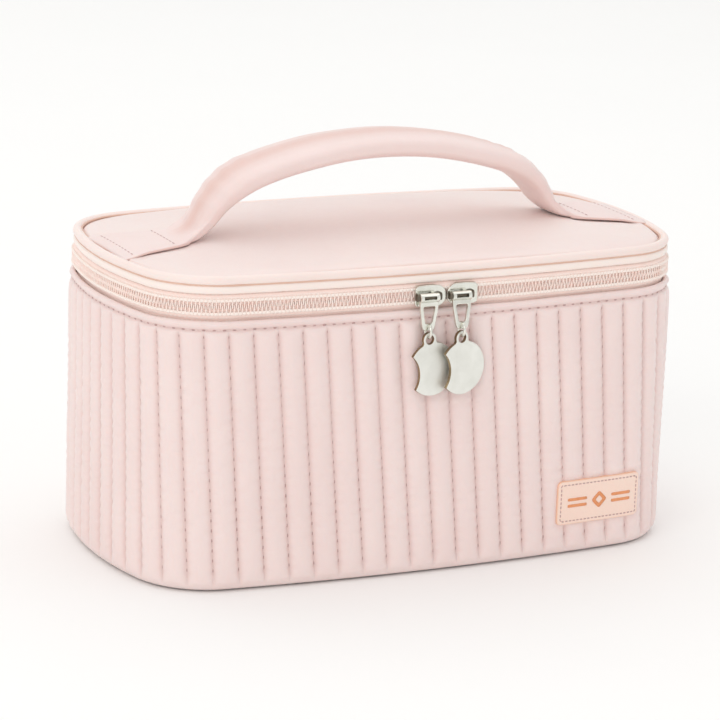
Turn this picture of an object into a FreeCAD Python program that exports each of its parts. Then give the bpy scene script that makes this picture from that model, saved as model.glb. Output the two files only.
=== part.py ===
import FreeCAD, Part

import math
import os

from FreeCAD import Placement, Rotation, Vector

# Quilted vanity bag with a zipped, hinged lid and an arched carry handle.
# Millimetres. The origin is the centre of the base, +Z is up, and the front faces -Y.

# Plan outline: a rectangle with bowed sides and round corners, all of tangent arcs.
WIDTH = 220.0
DEPTH = 120.0
BOW_R = 800.0
END_R = 137.0
CORNER_R = 30.0

# Heights
BASE_TOP = 3.2
BODY_TOP = 98.6
STITCH_ROW_Z = 95.6
CHAIN_Z = 103.8
BAND_BOTTOM = 108.4
BAND_TOP = 111.25
PIPING_Z = 112.9
CROWN_TOP = 117.2

# Layers, as insets from the plan outline
SKIN_OUT = 0.3
SKIN_IN = 1.5
TAPE_OUT = 2.0
TAPE_IN = 2.6
FOAM_IN = 4.5
LINING_IN = 5.0
BINDING_IN = 6.0

# Zip chain: two coils on the outer face of their tapes, with room between for the sliders' posts
COIL_OUT = 0.4
COIL_HEIGHT = 2.0
COIL_GAP = 1.6
TAPE_BOTTOM = 90.0
HINGE_HALF = 55.0

# Lid
PIPING_R = 1.6
PIPING_INSET = 2.2
LID_TOP_INSET = 3.85
LEATHER = 1.2
LID_LINING_Z = 108.3
LID_BOARD_TOP = 110.0
CROWN_LONG_R = 1702.0
CROWN_CROSS_R = 475.0

# Handle: a wide top arc and two tighter shoulder arcs, in the XZ plane
HANDLE_TOP_Z = 147.2
TOP_ARC_R = 180.0
TOP_ARC_DEG = 17.0
SHOULDER_R = 30.0
SHOULDER_DEG = 80.0
GRIP_WIDTH = 29.0
GRIP_THICK = 10.0
NECK_WIDTH = 19.0
NECK_THICK = 6.5
HANDLE_SKIN = 1.3
TAB_START = 72.0
TAB_END = 105.0
TAB_WIDTH = 37.0
TAB_THICK = 2.2

# Quilting. The first line is one step, of those in a channel, past the left end of the front bow.
QUILT_LINES = 65
QUILT_STEPS = 8
THREAD = 0.5

# Label patch on the front, near the right corner
LABEL_X = 68.5
LABEL_Z = 20.4
LABEL_LENGTH = 36.0
LABEL_HEIGHT = 16.7
LABEL_ROUND = 2.0
LABEL_OUT = -1.0

# Sliders and their pulls
SLIDER_X = 6.7
SLIDER_HALF = 5.7
SLIDER_HEIGHT = 8.2
PLATE = 1.1
PLATE_CLEAR = 0.4
CROWN_BAR_Y = -63.3
CROWN_BAR_R = 0.75
CROWN_HALF = 5.4
CROWN_LEG = 1.2
KNUCKLE_CLEAR = 0.08
KNUCKLE_R = 1.6
PULL_TOP_HALF = 3.9
PULL_LOW_HALF = 2.5
PULL_BOTTOM = 92.0
PULL_THICK = 1.4
RING_Z = 91.75
RING_R = 2.45
RING_WIRE = 0.5
EYELET_Z = 88.55
EYELET_R = 2.7
EYELET_HOLE = 1.7
TAG_Z = 77.6
TAG_R = 9.8
TAG_THICK = 1.6
BITE_R = 10.7
BITE_X = -14.0
RIGHT_LEAN_DEG = 7.0
LEFT_YAW_DEG = 8.0
RIGHT_YAW_DEG = 4.0

BOW_CENTRE = Vector(0, -DEPTH / 2 + BOW_R, 0)
END_CENTRE = Vector(WIDTH / 2 - END_R, 0, 0)


def unit(v):
    return v * (1 / v.Length)


def corner_centre():
    """The front right corner's centre, where the bow and the end arc both run on into its arc."""
    from_bow = BOW_R - CORNER_R
    from_end = END_R - CORNER_R
    gap = BOW_CENTRE - END_CENTRE
    along = (from_end**2 - from_bow**2 + gap.Length**2) / (2 * gap.Length)
    aside = math.sqrt(from_end**2 - along**2)
    direction = unit(gap)
    return END_CENTRE + direction * along + Vector(direction.y, -direction.x, 0) * aside


CORNER = corner_centre()
SLIDER_DEG = math.degrees(math.asin(SLIDER_X / (BOW_R - TAPE_OUT)))


def outline(inset):
    """The closed plan outline, moved inwards, at z = 0."""
    to_bow = unit(CORNER - BOW_CENTRE)
    to_end = unit(CORNER - END_CENTRE)
    bow = BOW_CENTRE + to_bow * (BOW_R - inset)
    mid = CORNER + unit(to_bow + to_end) * (CORNER_R - inset)
    end = END_CENTRE + to_end * (END_R - inset)

    def at(p, sx, sy):
        return Vector(sx * p.x, sy * p.y, 0)

    arcs = [
        (at(bow, -1, 1), Vector(0, -DEPTH / 2 + inset, 0), bow),
        (bow, mid, end),
        (end, Vector(WIDTH / 2 - inset, 0, 0), at(end, 1, -1)),
        (at(end, 1, -1), at(mid, 1, -1), at(bow, 1, -1)),
        (at(bow, 1, -1), Vector(0, DEPTH / 2 - inset, 0), at(bow, -1, -1)),
        (at(bow, -1, -1), at(mid, -1, -1), at(end, -1, -1)),
        (at(end, -1, -1), Vector(-WIDTH / 2 + inset, 0, 0), at(end, -1, 1)),
        (at(end, -1, 1), at(mid, -1, 1), at(bow, -1, 1)),
    ]
    return Part.Wire([Part.Arc(*points).toShape() for points in arcs])


def slab(inset, low, high):
    """A plate with the plan outline."""
    solid = Part.Face(outline(inset)).extrude(Vector(0, 0, high - low))
    solid.translate(Vector(0, 0, low))
    return solid


def ring(outer, inner, low, high):
    """A wall that follows the plan outline."""
    return slab(outer, low, high).cut(slab(inner, low - 1, high + 1))


def box(low, high):
    size = [b - a for a, b in zip(low, high)]
    return Part.makeBox(*size, Vector(*low))


def edges_at(solid, z):
    """The edges that lie flat at one height."""
    return [
        e
        for e in solid.Edges
        if abs(e.BoundBox.ZMin - z) < 1e-6 and abs(e.BoundBox.ZMax - z) < 1e-6
    ]


def behind_hinge():
    """The space of the hinge strip, at the middle of the back."""
    return box((-HINGE_HALF, 30, -10), (HINGE_HALF, 90, 200))


def rounded_plate(length, height, radius, depth_low, depth_high):
    """A plate with round corners in the XZ plane, centred on x = 0 and z = 0."""
    plate = box((-length / 2, depth_low, -height / 2), (length / 2, depth_high, height / 2))
    upright = [
        e
        for e in plate.Edges
        if abs(e.BoundBox.YLength - (depth_high - depth_low)) < 1e-6
    ]
    return plate.makeFillet(radius, upright)


def on_front(shape, x, z):
    """A shape made about the XZ origin, moved to its place on the front wall."""
    shape.translate(Vector(x, 0, z))
    return shape


# Body ---------------------------------------------------------------------------------------


def base_panel():
    panel = slab(SKIN_OUT, 0, 2.0)
    return panel.makeFillet(1.6, edges_at(panel, 0))


def outer_wall():
    wall = ring(SKIN_OUT, SKIN_IN, 2.0, BODY_TOP)
    return wall.makeFillet(0.5, edges_at(wall, BODY_TOP))


def quilt_threads():
    """Upright thread runs, evenly spaced round the outline, left out under the label."""
    skin = ring(0.05, SKIN_OUT, 4.0, BODY_TOP - 1.0).cut(label_patch())
    points = outline(0.0).discretize(Number=QUILT_LINES * QUILT_STEPS + 1)
    posts = []
    for i in range(1, len(points), QUILT_STEPS):
        along = points[i + 1] - points[i - 1]
        across = math.degrees(math.atan2(along.y, along.x)) + 90
        post = box((-4, -THREAD / 2, 0), (4, THREAD / 2, 100))
        post.Placement = Placement(points[i], Rotation(Vector(0, 0, 1), across))
        posts.append(post)
    return skin.common(Part.makeCompound(posts))


def clipped_to_zip(solid):
    """A zip part runs round the bag and stops at the hinge strip."""
    return solid.cut(behind_hinge())


def coil(low):
    return clipped_to_zip(ring(COIL_OUT, TAPE_OUT, low, low + COIL_HEIGHT))


def hinge_strip(low, high):
    return ring(1.0, TAPE_OUT, low, high).common(behind_hinge())


def label_shell(outer, inner, length, height, radius):
    plate = on_front(rounded_plate(length, height, radius, -80, 0), LABEL_X, LABEL_Z)
    return ring(outer, inner, 0, 60).common(plate)


def label_patch():
    return label_shell(LABEL_OUT, SKIN_OUT, LABEL_LENGTH, LABEL_HEIGHT, LABEL_ROUND)


def label_thread():
    """One thread line just inside the patch's edge."""
    far = label_shell(LABEL_OUT - 0.25, LABEL_OUT, LABEL_LENGTH - 2.0, LABEL_HEIGHT - 2.0, 1.4)
    near = on_front(
        rounded_plate(LABEL_LENGTH - 3.0, LABEL_HEIGHT - 3.0, 1.0, -80, 0), LABEL_X, LABEL_Z
    )
    return far.cut(near)


def label_motif():
    """A plain lozenge between two short bars."""
    lozenge = rounded_plate(4.6, 4.6, 0.8, -80, 0)
    lozenge.rotate(Vector(0, 0, 0), Vector(0, 1, 0), 45)
    bars = [on_front(rounded_plate(6.0, 1.1, 0.3, -80, 0), side * 9.0, 0) for side in (-1, 1)]
    stamp = on_front(Part.makeCompound([lozenge] + bars), LABEL_X, LABEL_Z)
    return ring(LABEL_OUT - 0.2, LABEL_OUT, 0, 60).common(stamp)


def body_nodes():
    low_coil = CHAIN_Z - COIL_GAP / 2 - COIL_HEIGHT
    return {
        "base_panel": base_panel(),
        "base_board": slab(SKIN_IN, 2.0, 2.8),
        "base_lining": slab(FOAM_IN, 2.8, BASE_TOP),
        "outer_wall": outer_wall(),
        "wall_foam": ring(TAPE_IN, FOAM_IN, 2.8, 97.0),
        "wall_interlining": ring(SKIN_IN, TAPE_IN, 2.8, TAPE_BOTTOM),
        "wall_lining": ring(FOAM_IN, LINING_IN, BASE_TOP, 97.0),
        "rim_hem": ring(SKIN_IN, TAPE_OUT, TAPE_BOTTOM, BODY_TOP - 0.4),
        "inner_rim_binding": ring(LINING_IN, BINDING_IN, 92.0, 97.0),
        "inner_base_binding": ring(LINING_IN, BINDING_IN, BASE_TOP, 7.0),
        "quilt_stitching": quilt_threads(),
        "rim_stitching": ring(-0.2, 0.05, STITCH_ROW_Z - 0.3, STITCH_ROW_Z + 0.3),
        "lower_zip_tape": clipped_to_zip(ring(TAPE_OUT, TAPE_IN, TAPE_BOTTOM, low_coil + 2.2)),
        "lower_zip_coil": coil(low_coil),
        "hinge_strip_lower": hinge_strip(BODY_TOP, CHAIN_Z - 0.2),
        "label_patch": label_patch(),
        "label_stitching": label_thread(),
        "label_motif": label_motif(),
    }


# Lid ----------------------------------------------------------------------------------------


def crown(lift):
    """Everything below the lid's crowned top: a very large torus that curves less along X than along Y."""
    centre = Vector(0, 0, CROWN_TOP - CROWN_LONG_R)
    return Part.makeTorus(CROWN_LONG_R - CROWN_CROSS_R, CROWN_CROSS_R + lift, centre, Vector(0, 1, 0))


def under_crown(inset, low, lift):
    return slab(inset, low, CROWN_TOP + 10).common(crown(lift))


def lid_top_panel():
    return under_crown(LID_TOP_INSET, 105, 0).cut(crown(-LEATHER))


def lid_foam():
    return under_crown(LID_TOP_INSET, LID_BOARD_TOP, -LEATHER)


def lid_piping():
    path = outline(PIPING_INSET)
    path.translate(Vector(0, 0, PIPING_Z))
    start = path.Edges[0].valueAt(path.Edges[0].FirstParameter)
    along = path.Edges[0].tangentAt(path.Edges[0].FirstParameter)
    section = Part.Wire([Part.makeCircle(PIPING_R, start, along)])
    return path.makePipeShell([section], True, True)


def handle_point(degrees):
    """Centre line of the handle's right half, by the angle that its top surface slopes down."""
    turn = math.radians(min(degrees, TOP_ARC_DEG))
    x = TOP_ARC_R * math.sin(turn)
    z = HANDLE_TOP_Z - TOP_ARC_R * (1 - math.cos(turn))
    if degrees > TOP_ARC_DEG:
        on = math.radians(degrees)
        x += SHOULDER_R * (math.sin(on) - math.sin(turn))
        z -= SHOULDER_R * (math.cos(turn) - math.cos(on))
    return Vector(x, 0, z)


def handle_section(degrees, skin):
    """One flat oval across the handle, square to its centre line."""
    slope = abs(degrees)
    neck = max(0.0, (slope - TOP_ARC_DEG) / (SHOULDER_DEG - TOP_ARC_DEG))
    half_width = (GRIP_WIDTH + (NECK_WIDTH - GRIP_WIDTH) * neck) / 2 - skin
    half_thick = (GRIP_THICK + (NECK_THICK - GRIP_THICK) * neck) / 2 - skin
    oval = Part.Ellipse(Vector(0, 0, 0), half_width, half_thick).toShape()
    # the ellipse lies in XY with its long axis on X: stand it across the path, long axis on Y
    oval.rotate(Vector(0, 0, 0), Vector(0, 0, 1), 90)
    oval.rotate(Vector(0, 0, 0), Vector(0, 1, 0), 90 + degrees)
    centre = handle_point(slope)
    side = 1 if degrees >= 0 else -1
    oval.translate(Vector(side * centre.x, 0, centre.z))
    return Part.Wire([oval])


def handle_arch(skin):
    half = [0, 6, 12, TOP_ARC_DEG, 28, 40, 54, 67, SHOULDER_DEG, SHOULDER_DEG + 6]
    slopes = [-a for a in reversed(half[1:])] + half
    return Part.makeLoft([handle_section(a, skin) for a in slopes], True, False)


def handle_tab(side):
    """The flat end of the strap, sewn down on the lid."""
    corners = [
        Vector(TAB_START, -NECK_WIDTH / 2, 90),
        Vector(TAB_END, -TAB_WIDTH / 2, 90),
        Vector(TAB_END, TAB_WIDTH / 2, 90),
        Vector(TAB_START, NECK_WIDTH / 2, 90),
    ]
    prism = Part.Face(Part.makePolygon(corners + corners[:1])).extrude(Vector(0, 0, 60))
    tab = prism.common(crown(TAB_THICK)).cut(crown(0))
    return tab if side > 0 else tab.mirror(Vector(0, 0, 0), Vector(1, 0, 0))


def handle_cover():
    arch = handle_arch(0).cut(handle_arch(HANDLE_SKIN))
    solid = arch.cut(crown(0))
    for side in (-1, 1):
        solid = solid.fuse(handle_tab(side).cut(handle_arch(0.05)))
    return solid.removeSplitter()


def handle_core(cover):
    return handle_arch(HANDLE_SKIN).cut(crown(0)).cut(cover)


def handle_threads():
    """The cross seam at each end of the padded grip, and the edge seams of the flat ends."""
    threads = []
    for side in (-1, 1):
        for x, half in ((80.0, 10.0), (TAB_END - 1.5, 16.5)):
            low = min(side * x, side * (x + 0.6))
            cross = box((low, -half, 100), (low + 0.6, half, 130))
            threads.append(cross.common(crown(TAB_THICK + 0.25)).cut(crown(TAB_THICK)))
    return Part.makeCompound(threads)


def lid_nodes():
    high_coil = CHAIN_Z + COIL_GAP / 2
    cover = handle_cover()
    return {
        "lid_top_panel": lid_top_panel(),
        "lid_foam": lid_foam(),
        "lid_board": slab(LINING_IN, LID_LINING_Z + 0.5, LID_BOARD_TOP),
        "lid_lining": slab(LINING_IN, LID_LINING_Z, LID_LINING_Z + 0.5),
        "lid_band": ring(1.0, TAPE_OUT, BAND_BOTTOM, BAND_TOP),
        "lid_piping": lid_piping(),
        "lid_inner_binding": ring(TAPE_IN, FOAM_IN, LID_LINING_Z, LID_BOARD_TOP),
        "upper_zip_tape": clipped_to_zip(ring(TAPE_OUT, TAPE_IN, high_coil - 0.2, BAND_TOP - 0.6)),
        "upper_zip_coil": coil(high_coil),
        "hinge_strip_upper": hinge_strip(CHAIN_Z + 0.2, BAND_BOTTOM),
        "handle_cover": cover,
        "handle_core": handle_core(cover),
        "handle_stitching": handle_threads(),
    }


# Sliders and pulls, made at the middle of the front and then carried along the bow -----------


def slider_plate(low_y, high_y):
    """A plate whose nose, at -X, is round."""
    half = SLIDER_HEIGHT / 2
    nose = Part.Arc(
        Vector(-SLIDER_HALF + 2.6, 0, -half), Vector(-SLIDER_HALF, 0, 0), Vector(-SLIDER_HALF + 2.6, 0, half)
    ).toShape()
    top = Part.makeLine(Vector(-SLIDER_HALF + 2.6, 0, half), Vector(SLIDER_HALF, 0, half))
    tail = Part.makeLine(Vector(SLIDER_HALF, 0, half), Vector(SLIDER_HALF, 0, -half))
    foot = Part.makeLine(Vector(SLIDER_HALF, 0, -half), Vector(-SLIDER_HALF + 2.6, 0, -half))
    plate = Part.Face(Part.Wire([nose, top, tail, foot])).extrude(Vector(0, high_y - low_y, 0))
    plate.translate(Vector(0, low_y, CHAIN_Z))
    return plate


def slider_body():
    """Front plate with turned-in flanges, back plate, and the post that joins them at the nose."""
    coil_face = -DEPTH / 2 + COIL_OUT
    front_in = coil_face - PLATE_CLEAR
    back_in = -DEPTH / 2 + TAPE_IN + PLATE_CLEAR
    front = slider_plate(front_in - PLATE, front_in)
    back = slider_plate(back_in, back_in + PLATE)
    post = box((-4.8, front_in, CHAIN_Z - 0.5), (-2.4, back_in, CHAIN_Z + 0.5))
    solid = front.fuse(back).fuse(post)
    half = SLIDER_HEIGHT / 2
    for low in (-half, half - 0.8):
        flange = box((-2.0, front_in, CHAIN_Z + low), (SLIDER_HALF, front_in + 1.5, CHAIN_Z + low + 0.8))
        solid = solid.fuse(flange)
    return solid.removeSplitter()


def slider_crown():
    """The bridge on the front plate: two legs and a round bar that the pull turns on."""
    face = -DEPTH / 2 + COIL_OUT - PLATE_CLEAR - PLATE
    bar = Part.makeCylinder(
        CROWN_BAR_R, 2 * CROWN_HALF, Vector(-CROWN_HALF, CROWN_BAR_Y, CHAIN_Z), Vector(1, 0, 0)
    )
    for side in (-1, 1):
        low = CROWN_HALF * side if side < 0 else CROWN_HALF - CROWN_LEG
        leg = box((low, CROWN_BAR_Y, CHAIN_Z - 1.1), (low + CROWN_LEG, face, CHAIN_Z + 1.1))
        rim = Part.makeCylinder(1.1, CROWN_LEG, Vector(low, CROWN_BAR_Y, CHAIN_Z), Vector(1, 0, 0))
        bar = bar.fuse(leg).fuse(rim)
    return bar.removeSplitter()


def pull_loop():
    """Two knuckles on the crown's bar, a cross bar, and a tapered frame with one opening."""
    y0 = CROWN_BAR_Y - PULL_THICK / 2
    top = CHAIN_Z - 1.2

    def frame(half_top, half_low, high, low):
        corners = [
            Vector(-half_top, y0, high),
            Vector(half_top, y0, high),
            Vector(half_low, y0, low),
            Vector(-half_low, y0, low),
        ]
        return Part.Face(Part.makePolygon(corners + corners[:1])).extrude(Vector(0, PULL_THICK, 0))

    solid = frame(PULL_TOP_HALF, PULL_LOW_HALF, top, PULL_BOTTOM)
    solid = solid.cut(frame(PULL_TOP_HALF - 1.2, PULL_LOW_HALF - 1.1, top - 1.2, PULL_BOTTOM + 1.3))
    for side in (-1, 1):
        low = -PULL_TOP_HALF if side < 0 else PULL_TOP_HALF - 1.3
        knuckle = Part.makeCylinder(KNUCKLE_R, 1.3, Vector(low, CROWN_BAR_Y, CHAIN_Z), Vector(1, 0, 0))
        solid = solid.fuse(knuckle)
    bore = Part.makeCylinder(
        CROWN_BAR_R + KNUCKLE_CLEAR, 20, Vector(-10, CROWN_BAR_Y, CHAIN_Z), Vector(1, 0, 0)
    )
    return solid.cut(bore).removeSplitter()


def jump_ring():
    return Part.makeTorus(RING_R, RING_WIRE, Vector(0, CROWN_BAR_Y, RING_Z), Vector(1, 0, 0))


def tag(yaw):
    """A disc with a round bite out of its left side, hung from its own eyelet."""
    y0 = CROWN_BAR_Y - TAG_THICK / 2

    def disc(radius, x, z, thick):
        start = Vector(x, CROWN_BAR_Y - thick / 2, z)
        return Part.makeCylinder(radius, thick, start, Vector(0, 1, 0))

    plate = disc(TAG_R, 0, TAG_Z, TAG_THICK)
    bite = Part.makeCylinder(BITE_R, 4, Vector(BITE_X, y0 - 1, TAG_Z), Vector(0, 1, 0))
    solid = plate.cut(bite).fuse(disc(EYELET_R, 0, EYELET_Z, 1.2))
    solid = solid.cut(disc(EYELET_HOLE, 0, EYELET_Z, 4)).removeSplitter()
    solid.rotate(Vector(0, CROWN_BAR_Y, 0), Vector(0, 0, 1), yaw)
    return solid


def lean_offset(lean):
    """How far the foot of a pull moves when it leans out: forwards and up."""
    reach = CHAIN_Z - (PULL_BOTTOM + 0.65)
    turn = math.radians(lean)
    return Vector(0, -reach * math.sin(turn), reach * (1 - math.cos(turn)))


def slider_nodes(side, name, lean, yaw):
    """One slider with its pull, ring and tag. side is +1 for the right one."""
    hung = {"jump_ring": jump_ring(), "pull_tag": tag(yaw)}
    for shape in hung.values():
        shape.translate(lean_offset(lean))
    loop = pull_loop()
    loop.rotate(Vector(0, CROWN_BAR_Y, CHAIN_Z), Vector(1, 0, 0), -lean)
    body = slider_body()
    if side < 0:
        body = body.mirror(Vector(0, 0, 0), Vector(1, 0, 0))
    shapes = {"slider_body": body, "slider_crown": slider_crown(), "pull_loop": loop, **hung}
    for shape in shapes.values():
        shape.rotate(BOW_CENTRE, Vector(0, 0, 1), side * SLIDER_DEG)
    return {f"{name}_{part}": shape for part, shape in shapes.items()}


def main():
    nodes = {**body_nodes(), **lid_nodes()}
    nodes.update(slider_nodes(-1, "left", 0.0, LEFT_YAW_DEG))
    nodes.update(slider_nodes(1, "right", RIGHT_LEAN_DEG, RIGHT_YAW_DEG))
    os.makedirs("parts", exist_ok=True)
    for name, shape in nodes.items():
        shape.exportStep(f"parts/{name}.step")
        print(f"{name}: {len(shape.Solids)} solid(s), {shape.Volume:.1f} mm3, valid {shape.isValid()}")


main()
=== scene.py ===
"""Quilted vanity bag: padded leather walls in upright channels, a zipped, hinged lid and an arched handle.

Lengths are in millimetres until a mesh is made. The front faces -Y. A place round the bag is an arc
length s along the plan outline, from the middle of the front, growing towards +X.
"""

import math

import bpy
import numpy as np
from mathutils import Matrix, Vector


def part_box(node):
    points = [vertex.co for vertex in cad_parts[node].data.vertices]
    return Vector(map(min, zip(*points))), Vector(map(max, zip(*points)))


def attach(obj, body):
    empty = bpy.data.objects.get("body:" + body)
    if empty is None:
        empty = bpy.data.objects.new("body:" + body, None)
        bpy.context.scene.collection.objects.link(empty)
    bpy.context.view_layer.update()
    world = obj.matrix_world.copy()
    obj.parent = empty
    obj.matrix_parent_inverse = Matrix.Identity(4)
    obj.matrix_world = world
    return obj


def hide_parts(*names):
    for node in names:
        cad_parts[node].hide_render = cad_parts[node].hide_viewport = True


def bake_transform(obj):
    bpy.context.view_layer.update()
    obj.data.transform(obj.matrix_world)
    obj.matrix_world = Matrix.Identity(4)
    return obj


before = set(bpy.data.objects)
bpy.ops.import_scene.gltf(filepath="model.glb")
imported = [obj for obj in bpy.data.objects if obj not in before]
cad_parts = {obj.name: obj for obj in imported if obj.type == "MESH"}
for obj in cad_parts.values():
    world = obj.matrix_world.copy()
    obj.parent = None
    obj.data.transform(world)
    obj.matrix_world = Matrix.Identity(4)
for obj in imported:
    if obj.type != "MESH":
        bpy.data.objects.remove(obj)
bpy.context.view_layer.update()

MM = 0.001


def box_mm(node):
    """A CAD node's lowest and highest corner, in millimetres."""
    low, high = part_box(node)
    return np.array(low) / MM, np.array(high) / MM


# Sizes of the CAD part ----------

WALL_LOW, WALL_HIGH = box_mm("outer_wall")
SKIN_INSET = 0.3  # from the plan outline in to the CAD wall
HALF_WIDTH = WALL_HIGH[0] + SKIN_INSET
HALF_DEPTH = WALL_HIGH[1] + SKIN_INSET
BOW_R, END_R, CORNER_R = 800.0, 137.0, 30.0
BODY_TOP = WALL_HIGH[2]
STITCH_ROW_Z = sum(corner[2] for corner in box_mm("rim_stitching")) / 2
CHAIN_Z = (box_mm("lower_zip_coil")[1][2] + box_mm("upper_zip_coil")[0][2]) / 2
BAND_LOW, BAND_HIGH = (corner[2] for corner in box_mm("lid_band"))
PIPING_R = (box_mm("lid_piping")[1][2] - box_mm("lid_piping")[0][2]) / 2
PIPING_Z = sum(corner[2] for corner in box_mm("lid_piping")) / 2
PIPING_INSET = 2.2
CROWN_TOP = box_mm("lid_top_panel")[1][2]
CROWN_LONG_R, CROWN_CROSS_R = 2000.0, 640.0  # a little fuller than the CAD lid
HINGE_HALF = box_mm("hinge_strip_lower")[1][0]
LID_UNDER = box_mm("lid_lining")[0][2]
FLOOR_Z = box_mm("base_lining")[1][2]

# Quilting
QUILT_LINES = 65
QUILT_PHASE = 4.5
QUILT_PHASE_Z = 57.0
LEAN = 0.095
LEAN_MID = 8.0
LEAN_REACH = 250.0
PUFF = 1.35
STITCH_PITCH = 3.7


# Plan outline ----------


def plan_arcs():
    """The outline's tangent arcs from the middle of the front: centre, radius, start and end angle."""
    bow = np.array([0.0, BOW_R - HALF_DEPTH])
    end = np.array([HALF_WIDTH - END_R, 0.0])
    gap = bow - end
    length = np.hypot(*gap)
    from_end, from_bow = END_R - CORNER_R, BOW_R - CORNER_R
    along = (from_end**2 - from_bow**2 + length**2) / (2 * length)
    aside = math.sqrt(from_end**2 - along**2)
    unit = gap / length
    corner = end + unit * along + np.array([unit[1], -unit[0]]) * aside
    a = math.atan2(*(corner - bow)[::-1])
    b = math.atan2(*(corner - end)[::-1])
    half = [(bow, BOW_R, a), (corner, CORNER_R, b), (end, END_R, -b), (corner * (1, -1), CORNER_R, -a)]
    arcs, start = [], -math.pi / 2
    for sign, turn in ((1, 0.0), (-1, math.pi)):
        for centre, radius, stop in half:
            arcs.append((sign * centre, radius, start, stop + turn))
            start = stop + turn
    return arcs + [(bow, BOW_R, start, 1.5 * math.pi)]


ARCS = plan_arcs()
ARC_ENDS = np.cumsum([radius * (stop - start) for _, radius, start, stop in ARCS])
ROUND = ARC_ENDS[-1]
PITCH = ROUND / QUILT_LINES
ZIP_END = ROUND / 2 - HINGE_HALF


def plan(s):
    """Points of the outline at arc lengths s, and its outward normals."""
    s = np.mod(np.asarray(s, float), ROUND)
    point, normal = np.zeros(s.shape + (2,)), np.zeros(s.shape + (2,))
    begin = 0.0
    for (centre, radius, start, _), stop in zip(ARCS, ARC_ENDS):
        here = (s >= begin) & (s <= stop)
        angle = start + (s[here] - begin) / radius
        normal[here] = np.stack([np.cos(angle), np.sin(angle)], -1)
        point[here] = centre + radius * normal[here]
        begin = stop
    return point, normal


def on_plan(s, inset, z):
    """Points at arc lengths s round the bag, moved in by inset, at height z."""
    s, inset, z = np.broadcast_arrays(np.asarray(s, float), inset, z)
    point, normal = plan(s)
    return np.concatenate([point - normal * inset[..., None], z[..., None]], -1)


def s_at_front(x):
    """Arc length of the front wall's point with that x."""
    s = np.linspace(-120, 120, 2401)
    return float(np.interp(x, plan(s)[0][:, 0], s))


def crown_z(x, y):
    return CROWN_TOP - x**2 / (2 * CROWN_LONG_R) - y**2 / (2 * CROWN_CROSS_R)


def apart(s, place):
    """How far arc lengths s are from a place, the shorter way round."""
    return np.abs(np.mod(s - place + ROUND / 2, ROUND) - ROUND / 2)


def all_round(count):
    """Arc lengths that divide the way round the bag evenly."""
    return np.arange(count) * ROUND / count


def line_s(u, z):
    """Arc length of quilt line number u at height z. On the front the lines lean to the right."""
    s = QUILT_PHASE + PITCH * np.asarray(u, float)
    share = np.clip(apart(s, LEAN_MID) / LEAN_REACH, 0, 1)
    return s + LEAN * np.cos(share * math.pi / 2) ** 2 * (QUILT_PHASE_Z - z)


def unit(vectors):
    return vectors / np.linalg.norm(vectors, axis=-1)[..., None]


def smooth(low, high, x):
    """0 below low, 1 above high, and a soft step between."""
    t = np.clip((np.asarray(x, float) - low) / (high - low), 0, 1)
    return t * t * (3 - 2 * t)


def ripples(points, size, seed):
    """Soft random waves over points, from -1 to 1, about size long."""
    r = np.random.default_rng(seed)
    total = 0.0
    for _ in range(7):
        way = r.normal(size=3)
        way *= 2 * math.pi / (size * r.uniform(0.7, 1.6)) / np.linalg.norm(way)
        total = total + np.sin(points @ way + r.uniform(0, 2 * math.pi))
    return total / 4.5


# Mesh helpers ----------


def quads(rows, cols, round_u=False, round_v=False):
    """Faces of a grid of points. round_u joins its last column to its first, round_v its rows."""
    r = np.arange(rows if round_v else rows - 1)[:, None]
    c = np.arange(cols if round_u else cols - 1)[None, :]
    up, on = (r + 1) % rows, (c + 1) % cols
    parts = [r * cols + c, r * cols + on, up * cols + on, up * cols + c]
    return np.stack([np.broadcast_to(p, (len(r), c.shape[1])) for p in parts], -1).reshape(-1, 4)


class Shape:
    """Points and faces that become one mesh."""

    def __init__(self):
        self.points, self.faces, self.count = [], [], 0

    def add(self, points, *face_sets):
        points = np.asarray(points, float).reshape(-1, 3)
        for faces in face_sets:
            self.faces += (np.asarray(faces) + self.count).tolist()
        self.points.append(points)
        self.count += len(points)
        return self

    def tube(self, *settings):
        """A sweep, added."""
        points, faces = sweep(*settings)
        return self.add(points, *faces)

    def join(self, *others):
        for other in others:
            self.points += other.points
            self.faces += [[i + self.count for i in face] for face in other.faces]
            self.count += other.count
        return self

    def moved(self, matrix):
        m = np.array(matrix)
        self.points = [p @ m[:3, :3].T + m[:3, 3] for p in self.points]
        return self

    def flipped(self):
        """Mirrored in x, with its faces turned back out."""
        self.points = [p * (-1, 1, 1) for p in self.points]
        self.faces = [f[::-1] for f in self.faces]
        return self


def linked(name, data):
    """A new object in the scene."""
    obj = bpy.data.objects.new(name, data)
    bpy.context.scene.collection.objects.link(obj)
    return obj


def solid(name, shape, material):
    """A Blender object from a Shape."""
    mesh = bpy.data.meshes.new(name)
    mesh.from_pydata((np.concatenate(shape.points) * MM).tolist(), [], shape.faces)
    mesh.update()
    mesh.shade_smooth()
    mesh.materials.append(material)
    return linked(name, mesh)


def piece(name, shape, body, finish, stands_for=(), seam_shade=None):
    """A visible piece, riding on a body. The last argument is, for each point, how deep it lies in a valley,
    crease or tuck: a weight of painted shade that deepens the leather's colour there.
    """
    obj = solid(name, shape, M[finish])
    if seam_shade is not None:
        layer = obj.data.attributes.new("seam_shade", "FLOAT", "POINT")
        layer.data.foreach_set("value", np.asarray(seam_shade, np.float32).ravel())
    if body:
        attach(obj, body)
    if stands_for:
        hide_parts(*stands_for)
    return obj


def thicken(obj, thickness, offset):
    made = obj.modifiers.new("thickness", "SOLIDIFY")
    made.thickness, made.offset = thickness * MM, offset


def circle(count):
    """Angles that divide a full turn evenly."""
    return np.arange(count) * 2 * math.pi / count


def last_ring(rows, cols):
    """One face that closes a grid's last row."""
    return (np.arange(cols) + (rows - 1) * cols)[None]


def steps(loop):
    """Unit steps along a closed line."""
    return unit(np.roll(loop, -1, 0) - np.roll(loop, 1, 0))


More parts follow.
